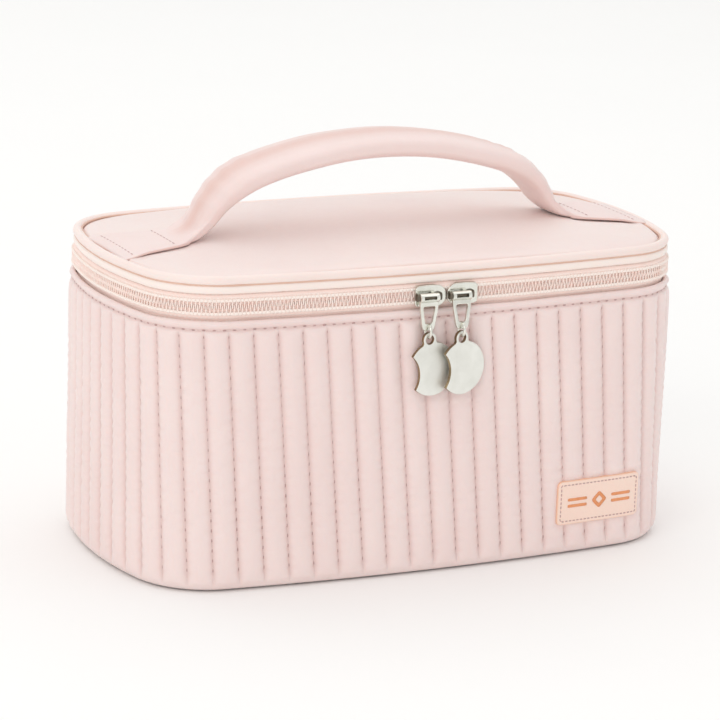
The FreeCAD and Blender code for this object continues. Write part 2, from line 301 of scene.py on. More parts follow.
def sweep(path, side, half_side, half_up, sides=12, power=2.0, closed=False):
    """A tube along path. side is the section's first axis. The half sizes and the squareness, power,
    may change along the path."""
    path = np.asarray(path, float)
    n = len(path)
    along = steps(path) if closed else unit(np.gradient(path, axis=0))
    side = np.broadcast_to(np.asarray(side, float), (n, 3))
    up = unit(np.cross(along, side))
    angle = circle(sides)
    power = np.broadcast_to(power, (n,))[:, None]
    c, d = (np.sign(v) * np.abs(v) ** (2 / power) for v in (np.cos(angle), np.sin(angle)))
    a = np.broadcast_to(half_side, (n,))[:, None] * c
    b = np.broadcast_to(half_up, (n,))[:, None] * d
    points = path[:, None] + a[..., None] * side[:, None] + b[..., None] * up[:, None]
    faces = [quads(n, sides, True, closed)[:, ::-1]]
    if not closed:
        faces += [np.arange(sides)[None], last_ring(n, sides)[:, ::-1]]
    return points, faces


def scatter(shape, template, faces, origins, axes):
    """Copies of a small template at many origins. axes are its x, y and z directions at each one."""
    template = np.asarray(template).reshape(-1, 3)
    points = origins[:, None] + sum(template[None, :, i, None] * axes[i][:, None] for i in range(3))
    shift = np.arange(len(origins))[:, None, None] * len(template)
    shape.add(points, *[(np.asarray(f)[None] + shift).reshape(-1, np.shape(f)[1]) for f in faces])


def capsule(length, half_side, half_up, rings=5, sides=6):
    """A stitch: a bar along x, rounded at both ends."""
    t = np.cos(np.linspace(math.pi, 0, rings))
    fat = np.sqrt(np.clip(1 - (t * 0.93) ** 4, 0.05, 1))
    path = np.stack([t * length / 2, 0 * t, 0 * t], -1)
    return sweep(path, (0, 1, 0), half_side * fat, half_up * fat, sides)


def plate(outlines, thick, bevel):
    """A flat part with rounded edges from closed outlines in x and z; any after the first are holes."""
    curve = bpy.data.curves.new("plate", "CURVE")
    curve.dimensions, curve.fill_mode = "2D", "BOTH"
    curve.extrude, curve.bevel_depth, curve.bevel_resolution = thick / 2 - bevel, bevel, 2
    curve.offset = -bevel
    for outline in outlines:
        spline = curve.splines.new("POLY")
        spline.points.add(len(outline) - 1)
        spline.points.foreach_set("co", np.array([(x, z, 0, 1) for x, z in outline]).ravel())
        spline.use_cyclic_u = True
    obj = bpy.data.objects.new("plate", curve)
    mesh = bpy.data.meshes.new_from_object(obj)
    points = np.array([v.co for v in mesh.vertices]).reshape(-1, 3)
    shape = Shape()
    shape.points = [np.stack([points[:, 0], -points[:, 2], points[:, 1]], -1)]
    shape.faces = [list(p.vertices) for p in mesh.polygons]
    shape.count = len(points)
    bpy.data.objects.remove(obj)
    bpy.data.curves.remove(curve)
    bpy.data.meshes.remove(mesh)
    return shape


def arc_points(centre, radius, start, stop, count):
    angle = np.radians(np.linspace(start, stop, count))
    return [(centre[0] + radius * math.cos(a), centre[1] + radius * math.sin(a)) for a in angle]


def rounded(corners, radius, steps=5):
    """A closed polygon with round corners."""
    outline = []
    for i, corner in enumerate(corners):
        here = np.array(corner, float)
        back = np.array(corners[i - 1], float) - here
        on = np.array(corners[(i + 1) % len(corners)], float) - here
        reach = min(radius, 0.45 * np.linalg.norm(back), 0.45 * np.linalg.norm(on))
        first, last = here + unit(back) * reach, here + unit(on) * reach
        for t in np.linspace(0, 1, steps):
            outline.append(tuple((1 - t) ** 2 * first + 2 * t * (1 - t) * here + t * t * last))
    return outline


SIM_SCALE = 0.1  # the cloth is simulated a hundred times life size
CLOTH = {
    "quality": 4, "mass": 0.05, "tension_stiffness": 15, "compression_stiffness": 15,
    "shear_stiffness": 6, "bending_stiffness": 0.6, "vertex_group_mass": "held", "use_pressure": True,
}


def settle(points, faces, held, pressure, frames, cap, slack):
    """How far sewn cloth moves under light pressure, as a Cloth simulation says, at most cap."""
    mesh = bpy.data.meshes.new("settle")
    mesh.from_pydata((points * SIM_SCALE).tolist(), [], faces.tolist())
    obj = linked("settle", mesh)
    scene = bpy.context.scene
    obj.vertex_groups.new(name="held").add(np.flatnonzero(held).tolist(), 1.0, "REPLACE")
    cloth = obj.modifiers.new("cloth", "CLOTH")
    for key, value in CLOTH.items():
        setattr(cloth.settings, key, value)
    cloth.settings.shrink_min = -slack
    cloth.settings.uniform_pressure_force = pressure
    cloth.settings.effector_weights.gravity = 0
    cloth.collision_settings.use_collision = False
    cloth.point_cache.frame_start, cloth.point_cache.frame_end = 1, frames
    for i in range(1, frames + 1):
        scene.frame_set(i)
    moved = obj.evaluated_get(bpy.context.evaluated_depsgraph_get()).to_mesh()
    co = np.zeros(len(points) * 3, np.float32)
    moved.vertices.foreach_get("co", co)
    bpy.data.objects.remove(obj)
    bpy.data.meshes.remove(mesh)
    scene.frame_set(1)
    shift = co.reshape(-1, 3) / SIM_SCALE - points
    length = np.linalg.norm(shift, axis=1)[:, None]
    return shift * np.minimum(1, cap / np.maximum(length, 1e-6))


# Materials ----------


def srgb(r, g, b):
    """A linear colour from red, green and blue between 0 and 255."""

    def linear(v):
        v /= 255
        return v / 12.92 if v <= 0.04045 else ((v + 0.055) / 1.055) ** 2.4

    return (linear(r), linear(g), linear(b), 1.0)


class Nodes:
    """A material's node tree, with short calls for the nodes that this script uses."""

    def __init__(self, name):
        self.material = bpy.data.materials.new(name)
        self.material.use_nodes = True
        self.tree = self.material.node_tree
        self.shader = self.tree.nodes["Principled BSDF"]
        self.where = self.tree.nodes.new("ShaderNodeTexCoord").outputs["Object"]

    def node(self, kind, inputs=(), **settings):
        made = self.tree.nodes.new("ShaderNode" + kind)
        for key, value in settings.items():
            setattr(made, key, value)
        for key, value in dict(inputs).items():
            self.put(made.inputs[key], value)
        return made

    def put(self, socket, value):
        """Link another node's output to a socket, or set its value."""
        if isinstance(value, bpy.types.NodeSocket):
            self.tree.links.new(value, socket)
        else:
            socket.default_value = value

    def noise(self, scale, detail=3.0, rough=0.55, vector=None):
        inputs = {"Vector": vector or self.where, "Scale": scale, "Detail": detail, "Roughness": rough}
        return self.node("TexNoise", inputs).outputs["Fac"]

    def uneven(self, scale, start, stop, detail=3.0):
        """A value that wanders between two levels."""
        return self.ramp(self.noise(scale, detail), 0.3, 0.7, start, stop)

    def waves(self, scale, distortion, direction):
        inputs = {"Vector": self.where, "Scale": scale, "Distortion": distortion}
        return self.node("TexWave", inputs, bands_direction=direction).outputs["Fac"]

    def ramp(self, value, low, high, start=0.0, stop=1.0):
        inputs = {"Value": value, "From Min": low, "From Max": high, "To Min": start, "To Max": stop}
        return self.node("MapRange", inputs).outputs["Result"]

    def maths(self, operation, a, b):
        return self.node("Math", {0: a, 1: b}, operation=operation).outputs[0]

    def mix(self, factor, a, b):
        """A mix of two colours, each another node's output or red, green and blue from 0 to 255."""
        made = self.node("Mix", (), data_type="RGBA")
        for key, value in {"Factor": factor, "A": a, "B": b}.items():
            socket = next(s for s in made.inputs if s.name == key and (key == "Factor" or s.type == "RGBA"))
            self.put(socket, srgb(*value) if isinstance(value, tuple) else value)
        return next(s for s in made.outputs if s.type == "RGBA")

    def bump(self, height, distance, strength, below=None):
        inputs = {"Height": height, "Distance": distance, "Strength": strength}
        if below is not None:
            inputs["Normal"] = below
        return self.node("Bump", inputs).outputs["Normal"]

    def set(self, **sockets):
        for key, value in sockets.items():
            self.put(self.shader.inputs[key.replace("_", " ")], value)
        return self.material


def leather(name, light, deep, seam_shade_colour, rough=0.42):
    """Soft coated leather: fine pebble grain and faint blotches, with painted shade: deeper colour in
    valleys, creases and tucks, where its mesh says.
    """
    n = Nodes(name)
    blotch = n.ramp(n.noise(26, 4), 0.35, 0.65)
    colour = n.mix(n.maths("MULTIPLY", blotch, 0.5), light, deep)
    colour = n.mix(n.uneven(2600, 0.0, 0.05, 2), colour, deep)
    # painted shade: a weight stored on the mesh mixes the colour towards a deeper tone in valleys, creases,
    # tucks and undersides
    seam_shade = n.node("Attribute", (), attribute_name="seam_shade").outputs["Fac"]
    colour = n.mix(seam_shade, colour, seam_shade_colour)
    normal = n.bump(n.noise(170), 0.0006, 0.22)
    cells = n.node("TexVoronoi", {"Vector": n.where, "Scale": 900}, feature="DISTANCE_TO_EDGE")
    normal = n.bump(n.ramp(cells.outputs["Distance"], 0.0, 0.32), 0.00006, 0.35, normal)
    normal = n.bump(n.noise(3400, 2), 0.00003, 0.3, normal)
    return n.set(
        Base_Color=colour, Roughness=n.uneven(420, rough - 0.05, rough + 0.07), Normal=normal, IOR=1.46,
        Subsurface_Weight=0.12, Subsurface_Radius=(1.0, 0.55, 0.42), Subsurface_Scale=0.0015,
        Sheen_Weight=0.12, Sheen_Roughness=0.5,
    )


def woven(name, light, deep, threads, rough=0.7):
    """Plain woven cloth: crossing threads with a little unevenness."""
    n = Nodes(name)
    lines = [n.waves(threads, 0.4, axis) for axis in "XYZ"]
    weave = n.maths("MULTIPLY", n.maths("ADD", lines[0], lines[1]), lines[2])
    colour = n.mix(n.ramp(weave, 0.2, 1.4), deep, light)
    colour = n.mix(n.ramp(n.noise(60, 4), 0.35, 0.7, 0.0, 0.35), colour, deep)
    normal = n.bump(weave, 0.00008, 0.6, n.bump(n.noise(200), 0.0004, 0.3))
    roughness = n.uneven(300, rough - 0.06, rough + 0.08)
    return n.set(Base_Color=colour, Roughness=roughness, Normal=normal, Sheen_Weight=0.25)


def thread(name, light, deep):
    """Twisted sewing thread."""
    n = Nodes(name)
    twist = n.waves(900.0, 1.5, "DIAGONAL")
    colour = n.mix(n.ramp(n.maths("MULTIPLY", twist, n.noise(500)), 0.1, 0.6), deep, light)
    normal = n.bump(twist, 0.00005, 0.5)
    return n.set(Base_Color=colour, Roughness=n.uneven(800, 0.5, 0.66), Normal=normal, Sheen_Weight=0.2)


def plain(name, light, deep, patches, rough, grain, **more):
    """A smooth coat, a little uneven in tone. patches is a noise's scale and detail and its two ends."""
    n = Nodes(name)
    scale, detail, low, high = patches
    colour = n.mix(n.ramp(n.noise(scale, detail), low, high), light, deep)
    normal = n.bump(n.noise(grain[0]), 0.00003, grain[1])
    return n.set(Base_Color=colour, Roughness=n.uneven(900, *rough), Normal=normal, **more)


def nickel(name, tone, deep, rough):
    """Polished pale nickel plate with fine rub marks."""
    n = Nodes(name)
    drawn = n.node("Mapping", {"Vector": n.where, "Scale": (1.0, 1.0, 0.12)}).outputs["Vector"]
    rub = n.noise(1400, 3, 0.6, drawn)
    colour = n.mix(n.ramp(n.noise(160, 4), 0.35, 0.75), tone, deep)
    roughness = n.ramp(rub, 0.3, 0.75, rough, rough + 0.12)
    normal = n.bump(rub, 0.00001, 0.25)
    return n.set(Base_Color=colour, Roughness=roughness, Normal=normal, Metallic=1.0)


def floor_finish():
    """Matt white paper."""
    n = Nodes("studio_floor")
    colour = n.mix(n.uneven(6, 0.0, 0.25), (252, 252, 251), (249, 249, 248))
    return n.set(Base_Color=colour, Roughness=0.85, Specular_IOR_Level=0.1)


M = {
    # each leather's third colour is painted shade, for its valleys, creases, tucks and undersides
    "wall": leather("leather_wall", (243, 224, 220), (237, 214, 210), (231, 202, 197)),
    "lid": leather("leather_lid", (243, 226, 221), (238, 217, 213), (230, 192, 178)),
    "handle": leather("leather_handle", (243, 223, 219), (237, 213, 208), (226, 184, 172)),
    "cream": leather("leather_cream", (252, 238, 231), (248, 230, 222), (232, 196, 181)),
    "piping": leather("leather_piping", (248, 231, 225), (244, 223, 216), (232, 198, 184)),
    "label": leather("leather_label", (251, 224, 210), (248, 216, 200), (244, 190, 156), 0.36),
    # painted shade: the needle holes' dark dots; the label's and the handle's stitches use it too, as dark
    # thread
    "hole": thread("needle_hole_shade_and_dark_thread", (206, 172, 168), (186, 150, 146)),
    "thread": thread("sewing_thread", (242, 222, 216), (226, 198, 192)),
    # painted shadow: thin dark tubes in the grooves beside the lid's piping
    "groove_shadow": thread("seam_shadow", (234, 198, 180), (222, 182, 162)),
    "tape": woven("zip_tape_weave", (255, 241, 234), (255, 230, 221), 260.0),
    "coil": plain(
        "zip_nylon", (255, 238, 230), (255, 226, 216), (300, 3, 0.3, 0.7), (0.28, 0.42), (2200, 0.3),
        Subsurface_Weight=0.1, Subsurface_Radius=(1.0, 0.6, 0.5), Subsurface_Scale=0.001,
    ),
    "bead": thread("zip_sewing", (255, 248, 242), (250, 232, 222)),
    "lining": woven("lining_weave", (232, 214, 208), (212, 190, 184), 420.0, 0.55),
    "binding": woven("binding_weave", (240, 216, 206), (222, 190, 178), 300.0),
    "nickel": nickel("nickel_plate", (236, 236, 228), (222, 222, 212), 0.16),
    # painted shade and dark reflection: the slider's bridge sits in shadow under the pull's head
    "nickel_in_shade": nickel("nickel_painted_shade", (120, 112, 100), (88, 80, 70), 0.25),
    "nickel_satin": nickel("nickel_satin", (240, 240, 234), (230, 230, 223), 0.42),
    # painted shade and reflection on the tags' sides
    "nickel_edge_shade": nickel("nickel_painted_edge_shade", (168, 148, 118), (124, 106, 84), 0.3),
    "print": plain(
        "label_print", (236, 158, 108), (226, 142, 92), (1500, 4, 0.35, 0.7), (0.4, 0.55), (2000, 0.4),
    ),
}
SLOT = {
    "wall": "leather_pink", "lid": "leather_pink", "handle": "leather_pink", "cream": "leather_cream",
    "piping": "leather_cream", "label": "label_leather", "tape": "zip_tape", "coil": "zip_coil",
    "lining": "lining_fabric", "binding": "binding_tape", "print": "label_print",
}
SLOT |= {finish: "thread" for finish in ("hole", "thread", "groove_shadow", "bead")}
SLOT |= {finish: "nickel" for finish in M if finish.startswith("nickel")}


# Body ----------

TUCK_R = 3.0  # where the wall turns in under the base
VALLEY = 0.62  # how much of a puff's height lies inside the skin's mean surface
SKIN = 0.2  # the mean surface's inset
PRESS_EDGE, LABEL_CLEAR = 2.2, 0.6
ROW_INSET = 0.62  # of the horizontal stitches, in their crease
INNER_ROWS, LIP_ROWS = 9, 14  # rows at the section's end: behind the lip, and lip and all


def label_frame():
    """The label's middle, as arc length and height, and its half sizes."""
    low, high = box_mm("label_patch")
    half_s = (s_at_front(high[0]) - s_at_front(low[0])) / 2
    return s_at_front((low[0] + high[0]) / 2), (low[2] + high[2]) / 2, half_s, (high[2] - low[2]) / 2


LABEL_S, LABEL_Z, LABEL_HALF_S, LABEL_HALF_Z = label_frame()


def near_label(s, z):
    """How flat the label presses the wall, from 0 to 1."""
    beside = smooth(LABEL_HALF_S + PRESS_EDGE, LABEL_HALF_S, apart(s, LABEL_S))
    return beside * smooth(LABEL_HALF_Z + PRESS_EDGE, LABEL_HALF_Z, np.abs(z - LABEL_Z))


def wall_rows(step):
    """Heights and insets of the wall's section: up from under the base, over the lip, and down inside."""
    rows = arc_points((TUCK_R + SKIN, 3.4), TUCK_R, 270, 180, 7)[:-1]
    rows += [(SKIN, z) for z in np.arange(3.4, STITCH_ROW_Z - 1.6, step)]
    rows += [(SKIN, STITCH_ROW_Z + dz) for dz in (-1.3, -0.8, -0.4, 0.0, 0.35, 0.8)]
    lip = np.radians(np.linspace(0, 180, 12))
    mid, half = 0.85, 1.0
    rows += [(mid - half * math.cos(a), BODY_TOP - 1.15 + 1.3 * math.sin(a)) for a in lip]
    rows += [(mid + half, BODY_TOP - 2.5), (mid + half, 92.0)]
    return np.array(rows)


def fullness(z):
    """How far the padding stands out at a height, from 0 at the foot to little under the lip."""
    return smooth(0.5, 7.5, z) * (1 - 0.86 * smooth(STITCH_ROW_Z - 2.4, STITCH_ROW_Z - 0.4, z))


def wall_grid(per_channel, step):
    """The quilted skin's points, rows up and columns round, and how near each is to a stitch line, which
    sets the painted shade in its valleys.
    """
    rows = wall_rows(step)
    inset, z = rows[:, :1], rows[:, 1:]
    t = np.arange(per_channel) / per_channel
    f = t - 0.055 * np.sin(2 * math.pi * t)
    u = (np.arange(QUILT_LINES)[:, None] + f).ravel()[None, :]
    f = np.tile(f, QUILT_LINES)[None, :]
    s = line_s(u, z)
    base = on_plan(s, 0.0, z)
    outside = (np.arange(len(rows)) < len(rows) - INNER_ROWS)[:, None]
    env = fullness(z) * outside
    hump = (4 * f * (1 - f)) ** 0.62
    fat = 1 + 0.1 * np.sin(u.astype(int) * 2.4) + 0.09 * ripples(base, 38.0, 3)
    puff = PUFF * env * (hump * fat - VALLEY)
    pressed = near_label(s, z)
    puff = puff * (1 - pressed) - 0.35 * pressed
    near = np.minimum(f, 1 - f) * PITCH
    pucker = 0.16 * np.cos(2 * math.pi * (z - 5.0) / STITCH_PITCH) * np.exp(-((near - 0.9) / 1.1) ** 2) * env
    crease = -0.5 * np.exp(-((z - STITCH_ROW_Z) / 0.75) ** 2) * outside
    lip = 0.25 * np.exp(-((z - BODY_TOP + 1.3) / 1.0) ** 2) * outside
    rim = 0.12 * ripples(base, 22.0, 5) * smooth(STITCH_ROW_Z, BODY_TOP - 1, z)
    loose = 0.16 * ripples(base, 60.0, 6) * env
    out = puff + pucker * 0.8 + crease + lip + rim + loose
    points = on_plan(s, inset - out, z)
    points[..., 2] += 0.15 * ripples(base, 30.0, 7) * smooth(BODY_TOP - 2, BODY_TOP, z)
    # painted shade: deeper colour in the valleys along the upright stitch lines and in the crease under the
    # lip
    seam_shade = np.maximum(
        0.8 * np.exp(-((near / 0.95) ** 2)) * env,
        0.75 * np.exp(-(((z - STITCH_ROW_Z) / 0.7) ** 2)) * outside,
    )
    return points, np.clip(seam_shade, 0, 1), *np.broadcast_arrays(near, z, env)


def interpolated(field, rows_from, rows_to, per_from, per_to):
    """A field on the coarse wall grid, read off on the fine one."""
    index = np.arange(len(rows_from))
    heights = np.interp(rows_to[:, 1], rows_from[:, 1], index)
    cols = np.arange(QUILT_LINES * per_to) * per_from / per_to
    out = np.zeros((len(rows_to), len(cols), 3))
    for k in range(3):
        wide = np.concatenate([field[..., k], field[:, :1, k]], 1)
        across = np.stack([np.interp(cols, np.arange(wide.shape[1]), row) for row in wide])
        out[..., k] = np.stack([np.interp(heights, index, col) for col in across.T], 1)
    return out


def wall():
    """The quilted skin: a coarse grid settles under pressure, and a fine one takes its shift."""
    per, fine_per = 6, 12
    coarse, _, near, z, env = wall_grid(per, STITCH_PITCH / 2)
    held = (near < 0.05) | (z < 3.3) | (z > STITCH_ROW_Z - 0.5) | (env < 0.2)
    faces = quads(*coarse.shape[:2], True)
    shift = settle(coarse.reshape(-1, 3), faces, held.ravel(), 3.0, 14, 0.7, 0.025).reshape(coarse.shape)
    fine, seam_shade, *_ = wall_grid(fine_per, STITCH_PITCH / 4)
    rows_to = wall_rows(STITCH_PITCH / 4)[:-LIP_ROWS]
    rows_from = wall_rows(STITCH_PITCH / 2)[:-LIP_ROWS]
    fine[:-LIP_ROWS] += interpolated(shift[:-LIP_ROWS], rows_from, rows_to, per, fine_per)
    shape = Shape().add(fine, quads(*fine.shape[:2], True))
    obj = piece(
        "quilted_wall", shape, "base", "wall",
        ("outer_wall", "wall_foam", "wall_interlining", "rim_hem"), seam_shade,
    )


def frames_at(s):
    """Along, out and up at arc lengths s."""
    normal = plan(s)[1]
    out = np.concatenate([normal, np.zeros((len(s), 1))], 1)
    up = np.tile([0.0, 0.0, 1.0], (len(s), 1))
    return np.cross(up, out), out, up


def stitches():
    """Upright stitch lines in the valleys: a thread bar, and after each a dark dot, painted shade for its
    needle hole.
    """
    threads, holes = Shape(), Shape()
    z = np.arange(6.2, STITCH_ROW_Z - 1.2, STITCH_PITCH)
    u, z = (a.ravel() for a in np.meshgrid(np.arange(QUILT_LINES), z))
    valley = SKIN + PUFF * VALLEY
    for shape, bar, dz, inset in (
        (threads, capsule(2.5, 0.2, 0.17), 0.0, valley - 0.04),
        (holes, capsule(1.15, 0.34, 0.16), STITCH_PITCH / 2, valley - 0.06),
    ):
        at = np.minimum(z + dz, STITCH_ROW_Z - 1.2)
        s = line_s(u, at)
        beside = apart(s, LABEL_S) >= LABEL_HALF_S + LABEL_CLEAR
        keep = beside | (np.abs(at - LABEL_Z) >= LABEL_HALF_Z + LABEL_CLEAR)
        along, out, up = (a[keep] for a in frames_at(s))
        depth = SKIN + (inset - SKIN) * fullness(at)
        scatter(shape, *bar, on_plan(s, depth, at)[keep], (up, along, out))
    piece("quilt_stitches", threads, "base", "thread", ("quilt_stitching",))
    piece("quilt_hole_shade_dots", holes, "base", "hole")


def rim_row():
    """The horizontal stitch row under the body's lip, with a dark dot of painted shade for each needle hole.
    """
    count = round(ROUND / STITCH_PITCH)
    threads, holes = Shape(), Shape()
    for shape, bar, ahead, inset in (
        (threads, capsule(2.4, 0.2, 0.17), 0.0, ROW_INSET),
        (holes, capsule(1.1, 0.32, 0.16), 0.5, ROW_INSET - 0.02),
    ):
        s = all_round(count) + ahead * ROUND / count
        along, out, up = frames_at(s)
        scatter(shape, *bar, on_plan(s, inset, STITCH_ROW_Z), (along, -up, out))
    piece("rim_stitches", threads, "base", "thread", ("rim_stitching",))
    piece("rim_hole_shade_dots", holes, "base", "hole")


def label():
    """A small leather patch that follows the wall, with a stitched border and a plain printed motif."""
    count = 120
    edge = resampled(box_outline(LABEL_HALF_S, LABEL_HALF_Z, 2.0, 8), count)
    section = [(0.0, -0.9), (0.0, -0.2), (0.02, 0.4), (0.12, 0.78), (0.35, 0.98), (0.75, 1.04), (1.3, 0.98)]
    rows = [on_patch(shrunk(edge, inward), out) for inward, out in section]
    inner = edge * (1 - 2.4 / LABEL_HALF_S, 1 - 2.4 / LABEL_HALF_Z)
    rows += [on_patch(inner * t, 1.0) for t in np.linspace(1, 0.03, 14)[1:]]
    shape = Shape().add(np.stack(rows), quads(len(rows), count, True), last_ring(len(rows), count))
    # painted shade where the patch's edge sinks into the wall
    seam_shade = np.zeros((len(rows), count))
    seam_shade[:5] = np.array([1, 1, 0.9, 0.5, 0.15])[:, None]
    obj = piece("label_leather", shape, "base", "label", ("label_patch",), seam_shade)
    border = resampled([tuple(p) for p in shrunk(edge, 1.45)], 58)
    s, z = LABEL_S + border[:, 0], LABEL_Z + border[:, 1]
    along, out, up = frames_at(s)
    step = steps(border)
    way = along * step[:, :1] + up * step[:, 1:]
    threads = Shape()
    scatter(threads, *capsule(1.1, 0.26, 0.14), on_plan(s, -0.98, z), (way, np.cross(out, way), out))
    # these stitches take the needle holes' dark finish: dark thread, with painted shade of their holes
    piece("label_stitches", threads, "base", "hole", ("label_stitching",))
    motif = Shape()
    lozenges = (rounded([(0, -r), (r, 0), (0, r), (-r, 0)], bend) for r, bend in ((3.4, 1.0), (1.6, 0.5)))
    add_print(motif, *(resampled(lozenge, 48) for lozenge in lozenges))
    bar = resampled(box_outline(4.2, 0.55, 0.5), 48)
    for middle in ((-9.6, -1.2), (-9.6, 1.2), (9.6, -1.2), (9.6, 1.2)):
        add_print(motif, bar + middle)
    piece("label_print", motif, "base", "print", ("label_motif",))


def box_outline(half_x, half_z, radius, steps_round=5):
    """A rectangle with round corners."""
    corners = [(-half_x, -half_z), (half_x, -half_z), (half_x, half_z), (-half_x, half_z)]
    return rounded(corners, radius, steps_round)


def on_patch(flat, out):
    """Points of the label's flat plan, wrapped on the wall and lifted by out."""
    return on_plan(LABEL_S + flat[:, 0], -out, LABEL_Z + flat[:, 1])


def resampled(outline, count):
    """A closed outline with points evenly spaced."""
    p = np.array(outline + outline[:1])
    along = np.concatenate([[0], np.cumsum(np.linalg.norm(np.diff(p, axis=0), axis=1))])
    at = np.arange(count) * along[-1] / count
    return np.stack([np.interp(at, along, p[:, k]) for k in (0, 1)], -1)


def shrunk(edge, inward):
    """A closed outline moved in by a fixed distance."""
    step = steps(edge)
    return edge + np.stack([-step[:, 1], step[:, 0]], -1) * inward


def add_print(shape, outline, hole=None):
    """One raised printed mark: a rim and a face, or a ring where there is a hole."""
    rows = [on_patch(outline, 0.98), on_patch(outline, 1.1)]
    faces = [quads(4, len(outline), True)]
    if hole is None:
        mid = outline.mean(0)
        rows += [on_patch(mid + (outline - mid) * t, 1.12) for t in (0.7, 0.05)]
        faces.append(last_ring(4, len(outline)))
    else:
        rows += [on_patch(hole, 1.1), on_patch(hole, 0.98)]
    shape.add(np.stack(rows), *faces)


def band_surface(name, profile, body, finish, stands_for, wobble, columns=480, seam_shade=None):
    """A closed band round the bag whose section is a list of inset and height."""
    rows = np.array(profile)
    s = all_round(columns)[None]
    base = on_plan(s, rows[:, :1], rows[:, 1:])
    inset = rows[:, :1] + wobble * ripples(base, 18.0, len(name))
    points = on_plan(s, inset, rows[:, 1:])
    shade = None if seam_shade is None else np.broadcast_to(np.array(seam_shade)[:, None], points.shape[:2])
    shape = Shape().add(points, quads(*points.shape[:2], True))
    return piece(name, shape, body, finish, stands_for, shade)


def inside():
    """Lining of walls and floor, the bound top edge, and the leather under the base."""
    z = np.linspace(FLOOR_Z + 0.2, 97.0, 40)[::-1]
    s = all_round(520)[None]
    base = on_plan(s, 5.0, z[:, None])
    inset = 5.0 + 0.35 * ripples(base, 34.0, 21) * smooth(5, 20, z)[:, None] * smooth(97, 90, z)[:, None]
    inset = np.maximum(inset, 4.75)
    shape = Shape().add(on_plan(s, inset, z[:, None]), quads(40, 520, True))
    obj = piece("wall_lining_cloth", shape, "base", "lining", ("wall_lining",))
    turn = np.radians(np.linspace(0, 180, 9))
    over = [(4.3 + 1.75 * math.cos(a), 96.4 + 1.3 * math.sin(a)) for a in turn]
    over = [(6.05, 91.8), (6.1, 94.0)] + over + [(2.6, 94.5)]
    rim = band_surface("rim_binding", over, "base", "binding", ("inner_rim_binding",), 0.06)
    low = [(4.9, 7.2), (5.6, 7.1), (6.1, 6.6), (6.2, 5.2), (6.6, 3.9), (7.4, 3.35), (8.2, 3.2)]
    band_surface("floor_binding", low, "base", "binding", ("inner_base_binding",), 0.06)
    disc("floor_lining", 5.0, FLOOR_Z, 0.35, "base", "lining", ("base_lining",), up=True)
    disc("base_leather", 2.6, 0.55, -0.3, "base", "wall", ("base_panel", "base_board"), up=False)


def disc(name, inset, height, swell, body, finish, stands_for, up):
    """A sheet that fills the outline at one height, swelling a little towards its middle."""
    share = 1 - np.concatenate([[0, 0.008, 0.02, 0.04, 0.07], np.linspace(0.1, 1, 26)])
    share[-1] = 0.004
    cols = 260
    edge = on_plan(all_round(cols)[None], inset, 0.0)
    points = edge * share[:, None, None]
    points[..., 2] = height + swell * (1 - share[:, None] ** 4) + 0.12 * ripples(points, 40.0, len(name))
    if not up:
        points[..., 2] = np.maximum(points[..., 2], 0.05)
    faces, cap = quads(len(share), cols, True), last_ring(len(share), cols)
    if not up:
        faces, cap = faces[:, ::-1], cap[:, ::-1]
    obj = piece(name, Shape().add(points, faces, cap), body, finish, stands_for)


# Zip ----------

COIL_PITCH = 1.45
OPEN_HALF = 8.5  # half the length between the sliders where the chain is parted
REACH_JOINED, REACH_PARTED = 0.7, -0.85  # how far a tooth goes past the chain's middle
TOOTH_R = 0.3
BEAD_OFF, BEAD_INSET = 2.35, 0.56
TAPE_GAP = 0.12  # half the gap between the tapes
TAPE_ROWS, TAPE_COLS = 14, 480


def tape(name, low, high, body, stands_for):
    """One side's woven tape, cut to a width and run round from one end of the hinge to the other."""
    rows = np.linspace(low, high, TAPE_ROWS)[:, None]
    s = np.linspace(-ZIP_END, ZIP_END, TAPE_COLS)[None, :]
    inset = 1.15 + 1.3 * smooth(3.2, 4.7, np.abs(rows - CHAIN_Z))
    points = on_plan(s, inset + 0.05 * ripples(on_plan(s, 2.2, rows), 14.0, 31), rows)
    obj = piece(name, Shape().add(points, quads(TAPE_ROWS, TAPE_COLS)), body, "tape", stands_for)
    thicken(obj, 0.5, -0.5)


def tooth(side, reach):
    """One turn of the coil: out from the tape, towards the chain's middle, and back. side is 1 below."""
    path = np.array([
        (0, -1.95, -2.75), (0, -1.1, -2.95), (0, -0.68, -2.6), (0, -0.55, -1.6),
        (0, -0.55, reach - 0.75), (0, -0.72, reach - 0.25), (0, -1.15, reach), (0, -1.75, reach - 0.15),
    ])
    path[:, 2] *= side
    return sweep(path, (1, 0, 0), TOOTH_R, TOOTH_R, 6)


def chain(side, name, body, stands_for):
    """One side's coil and its sewing, which shows as a row of white beads."""
    s = np.arange(-ZIP_END + 0.8, ZIP_END - 0.8, COIL_PITCH) + (0 if side > 0 else COIL_PITCH / 2)
    teeth, beads = Shape(), Shape()
    joined = np.abs(s) >= OPEN_HALF
    for here, reach in ((joined, REACH_JOINED), (~joined, REACH_PARTED)):
        along, out, up = (a[here] for a in frames_at(s))
        points, faces = tooth(side, reach)
        scatter(teeth, points, faces, on_plan(s, 0.0, CHAIN_Z)[here], (along, out, up))
    middle = s + COIL_PITCH / 2
    along, out, up = frames_at(middle)
    at = on_plan(middle, BEAD_INSET, CHAIN_Z - side * BEAD_OFF)
    scatter(beads, *capsule(1.38, 0.62, 0.5, 7, 8), at, (along, -up, out))
    piece(name + "_teeth", teeth, body, "coil", stands_for)
    piece(name + "_sewing", beads, body, "bead")


def zip_parts():
    tape("lower_tape", 91.0, CHAIN_Z - TAPE_GAP, "base", ("lower_zip_tape",))
    tape("upper_tape", CHAIN_Z + TAPE_GAP, BAND_HIGH - 0.2, "lid", ("upper_zip_tape",))
    chain(1, "lower_coil", "base", ("lower_zip_coil",))
    chain(-1, "upper_coil", "lid", ("upper_zip_coil",))


